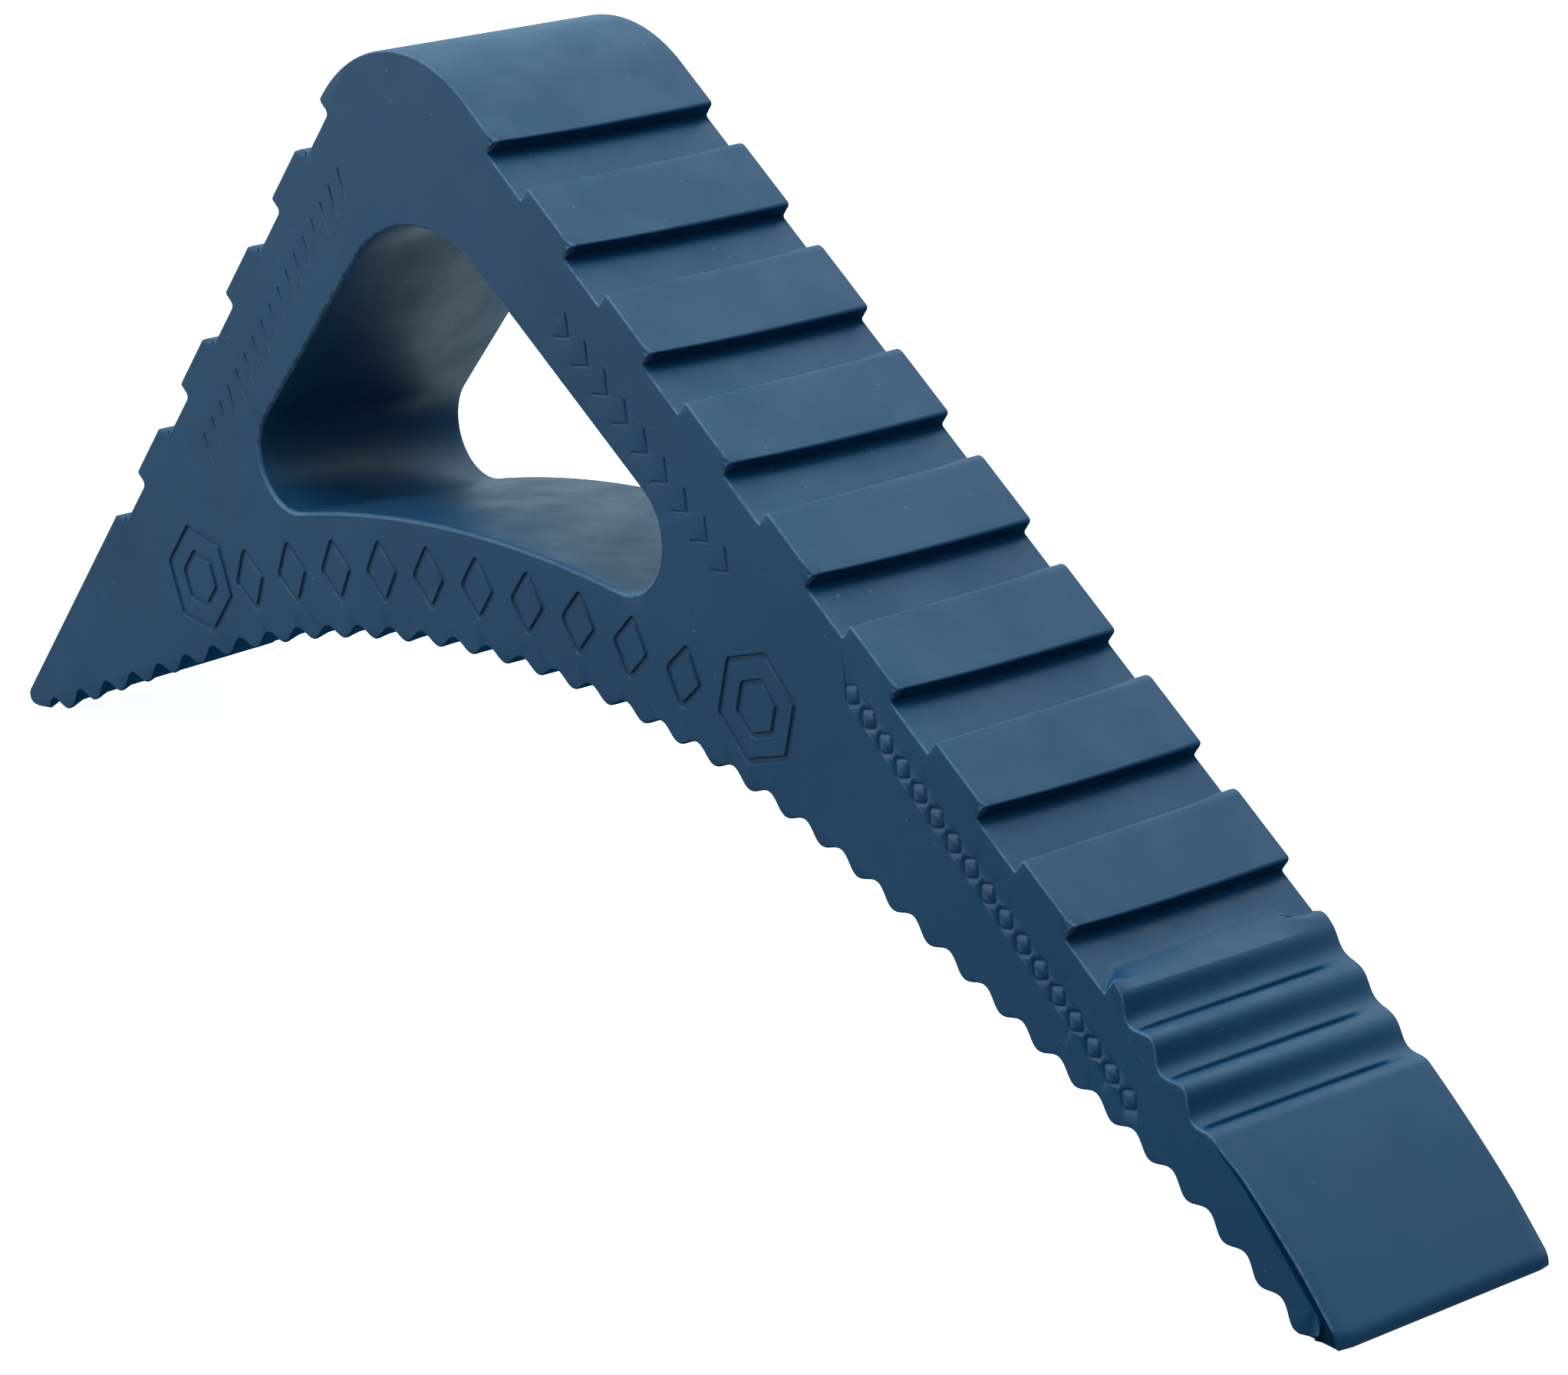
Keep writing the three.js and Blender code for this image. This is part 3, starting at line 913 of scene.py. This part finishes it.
def build_wedge():
    builder = Builder()
    near_rim = [float(kind == "near" and share > 0) for kind, share in rows()]
    sections, depths, starts = outer_skin()
    on_top = np.zeros(len(sections[0]))
    on_top[starts["slope"]:starts["heel"]] = 1
    # The skin carries a painted highlight on the top's near rim, and painted shade in its grooves,
    # beside the plate and on the underside
    skin_values = dict(rim=np.outer(near_rim, on_top), crease=skin_painted_shade(sections, depths, starts))
    skin = builder.grid(sections, depths, skin_values)
    window_sections, window_depths = window_skin()
    # Painted highlight along the window's near rim, weaker along its floor
    highlight = np.full(len(window_sections[0]), WINDOW_PAINTED_HIGHLIGHT["sides"])
    highlight[1 - WINDOW_STEPS["floor"]:] = WINDOW_PAINTED_HIGHLIGHT["floor"]
    window = builder.grid(window_sections, window_depths, dict(rim=np.outer(near_rim, highlight)))
    # The engraved floors get a little painted shade
    chains = [(builder.add(points, depth, mark=float(depth > 0)), True) for points, depth in marks()]
    chains += [(plate_edge(starts, skin[0], builder, step), False) for step in (0, 1)]
    builder.fill(skin[0], window[0], chains)
    builder.fill(skin[-1], window[-1], [])
    return builder


def to_object(name, builder):
    points = np.array(builder.points)
    places = np.column_stack([
        points.real - LAYOUT_CENTRE, np.array(builder.depths) - WIDTH / 2, points.imag]) * MM
    mesh = bpy.data.meshes.new(name)
    mesh.from_pydata(places.tolist(), [], builder.faces)
    for attribute, values in builder.values.items():
        mesh.attributes.new(attribute, "FLOAT", "POINT").data.foreach_set("value", values)
    mesh.validate()
    built = bpy.data.objects.new(name, mesh)
    bpy.context.scene.collection.objects.link(built)
    return built


def shade(built):
    """Consistent outward faces, smooth across small turns, with large flat faces kept flat."""
    bm = bmesh.new()
    bm.from_mesh(built.data)
    loose = [v for v in bm.verts if not v.link_faces]
    bmesh.ops.delete(bm, geom=loose, context="VERTS")
    bmesh.ops.recalc_face_normals(bm, faces=bm.faces)
    bm.to_mesh(built.data)
    bm.free()
    built.data.shade_smooth()
    built.data.set_sharp_from_angle(angle=math.radians(SHARP_ANGLE))
    weighted = built.modifiers.new("flat_faces", "WEIGHTED_NORMAL")
    weighted.keep_sharp = True
    weighted.weight = FLAT_WEIGHT


def add_camera():
    data = bpy.data.cameras.new("camera")
    data.lens = LENS
    data.sensor_width = SENSOR_WIDTH
    data.clip_start = CLIP_START
    camera = bpy.data.objects.new("camera", data)
    bpy.context.scene.collection.objects.link(camera)
    azimuth = math.radians(CAMERA_AZIMUTH)
    elevation = math.radians(CAMERA_ELEVATION)
    flat = math.cos(elevation)
    back = Vector((math.sin(azimuth) * flat, -math.cos(azimuth) * flat, math.sin(elevation)))
    camera.matrix_world = (
        Matrix.Translation(Vector(CAMERA_TARGET) * MM + back * CAMERA_DISTANCE * MM)
        @ back.to_track_quat("Z", "Y").to_matrix().to_4x4()
        @ Matrix.Rotation(math.radians(CAMERA_ROLL), 4, "Z")
    )
    bpy.context.scene.camera = camera


class Nodes:
    """Short calls for making the nodes of a material or a world."""

    def __init__(self, owner):
        owner.use_nodes = True
        self.tree = owner.node_tree

    def node(self, kind, inputs=(), **settings):
        made = self.tree.nodes.new(kind)
        for key, value in settings.items():
            setattr(made, key, value)
        for key, value in dict(inputs).items():
            self.link(value, made.inputs[key])
        return made

    def link(self, value, socket):
        if isinstance(value, bpy.types.NodeSocket):
            self.tree.links.new(value, socket)
        else:
            socket.default_value = value

    def noise(self, scale, detail, roughness):
        place = self.node("ShaderNodeTexCoord").outputs["Object"]
        return self.node("ShaderNodeTexNoise", {
            "Vector": place, "Scale": scale, "Detail": detail, "Roughness": roughness,
        }).outputs["Fac"]

    def span(self, value, low, high, to_low=0.0, to_high=1.0):
        return self.node("ShaderNodeMapRange", {
            "Value": value, "From Min": low, "From Max": high, "To Min": to_low, "To Max": to_high,
        }, interpolation_type="SMOOTHSTEP").outputs["Result"]

    def math(self, operation, a, b=0.0):
        return self.node("ShaderNodeMath", {0: a, 1: b}, operation=operation).outputs[0]

    def mix(self, factor, a, b):
        return self.node("ShaderNodeMix", {"Factor": factor, 6: a, 7: b}, data_type="RGBA").outputs[2]

    def attribute(self, name):
        return self.node("ShaderNodeAttribute", attribute_name=name).outputs["Fac"]


def rubber_material():
    """Satin rubber, slightly clouded and specked with dust, with a painted highlight on the near
    rims, painted shade in the grooves, beside the plate, on the underside and on the engraved floors,
    and a fine grain."""
    material = bpy.data.materials.new("petrol_rubber")
    n = Nodes(material)
    shader = n.tree.nodes["Principled BSDF"]
    colour = n.mix(n.span(n.noise(*CLOUDS), *CLOUD_RANGE), RUBBER_DARK, RUBBER_LIGHT)
    specks = n.span(n.noise(*SPECKS), *SPECK_RANGE)
    colour = n.mix(n.math("MULTIPLY", specks, DUST_SHARE), colour, DUST)
    # Painted highlight along the near rims, made ragged by a noise
    highlight = n.math("MULTIPLY", n.attribute("rim"), n.span(n.noise(*RAGGED), *RAGGED_RANGE))
    colour = n.mix(n.math("MULTIPLY", highlight, PAINTED_HIGHLIGHT_SHARE), colour, PAINTED_HIGHLIGHT)
    # Painted shade in the grooves, beside the plate and on the underside
    colour = n.mix(n.math("MULTIPLY", n.attribute("crease"), PAINTED_SHADE_SHARE), colour, PAINTED_SHADE_COLOUR)
    # A little painted shade on the engraved floors
    colour = n.mix(n.math("MULTIPLY", n.attribute("mark"), MARK_SHARE), colour, PAINTED_SHADE_COLOUR)
    n.link(colour, shader.inputs["Base Color"])
    n.link(n.span(n.noise(*SATIN), *SATIN_RANGE), shader.inputs["Roughness"])
    shader.inputs["IOR"].default_value = IOR
    # The painted shade also takes the sheen away
    gloss = n.span(n.attribute("crease"), 0.0, UNDERSIDE_SHADE, GLOSS, 0.0)
    n.link(gloss, shader.inputs["Specular IOR Level"])
    fine = n.node("ShaderNodeBump", {"Height": n.noise(*GRAIN), **GRAIN_BUMP})
    broad = n.node("ShaderNodeBump", {
        "Height": n.noise(*SWELL), **SWELL_BUMP, "Normal": fine.outputs["Normal"],
    })
    n.link(broad.outputs["Normal"], shader.inputs["Normal"])
    return material


def floor_plane():
    size = FLOOR_SIZE / 2
    mesh = bpy.data.meshes.new("floor")
    mesh.from_pydata([(-size, -size, 0), (size, -size, 0), (size, size, 0), (-size, size, 0)], [],
                     [(0, 1, 2, 3)])
    floor = bpy.data.objects.new("floor", mesh)
    bpy.context.scene.collection.objects.link(floor)
    material = bpy.data.materials.new("pale_floor")
    n = Nodes(material)
    shader = n.tree.nodes["Principled BSDF"]
    n.link(n.mix(n.noise(*FLOOR_CLOUDS), *FLOOR_SHADES), shader.inputs["Base Color"])
    shader.inputs["Roughness"].default_value = FLOOR_ROUGHNESS
    shader.inputs["Emission Color"].default_value = (1, 1, 1, 1)
    shader.inputs["Emission Strength"].default_value = FLOOR_GLOW
    shader.inputs["Specular IOR Level"].default_value = 0.0
    mesh.materials.append(material)
    floor.visible_diffuse = False
    floor.visible_glossy = False


def area_light(name, place, size, watts):
    """A square soft light that faces the object."""
    data = bpy.data.lights.new(name, "AREA")
    data.size = size
    data.energy = watts
    light = bpy.data.objects.new(name, data)
    light.location = place
    aim = Vector(LIGHT_AIM) - light.location
    light.rotation_euler = aim.to_track_quat("-Z", "Y").to_euler()
    bpy.context.scene.collection.objects.link(light)


def studio_world():
    """A soft dome, bright towards the sky's axis. Its patches stand for the pale surroundings that
    show in the window's walls, for the light that the floor throws up under the heel, and for a
    dim glow beyond the tip."""
    world = bpy.data.worlds.new("studio")
    n = Nodes(world)
    ahead = n.node("ShaderNodeTexCoord").outputs["Generated"]
    height = n.node("ShaderNodeSeparateXYZ", {"Vector": ahead}).outputs["Z"]

    def towards(axis, span, share=1.0):
        along = n.node("ShaderNodeVectorMath", {0: ahead, 1: axis}, operation="DOT_PRODUCT")
        return n.span(along.outputs["Value"], *span, 0.0, share)

    low_share = n.span(height, *SKY_LOW_SPAN, SKY_LOW_SHARE, 1.0)
    bright = n.math("MULTIPLY", towards(**SKY), low_share)
    for patch in SKY_PATCHES.values():
        bright = n.math("MAXIMUM", bright, towards(**patch))
    background = n.tree.nodes["Background"]
    n.link(n.mix(bright, SKY_DARK, SKY_BRIGHT), background.inputs["Color"])
    background.inputs["Strength"].default_value = SKY_STRENGTH
    bpy.context.scene.world = world


wedge = to_object("wedge_moulding", build_wedge())
shade(wedge)
wedge.data.materials.append(rubber_material())
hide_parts("wedge_body")
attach(wedge, "root")

add_camera()
floor_plane()
for light in LIGHTS:
    area_light(**light)
studio_world()
bpy.context.scene.view_settings.view_transform = "Standard"
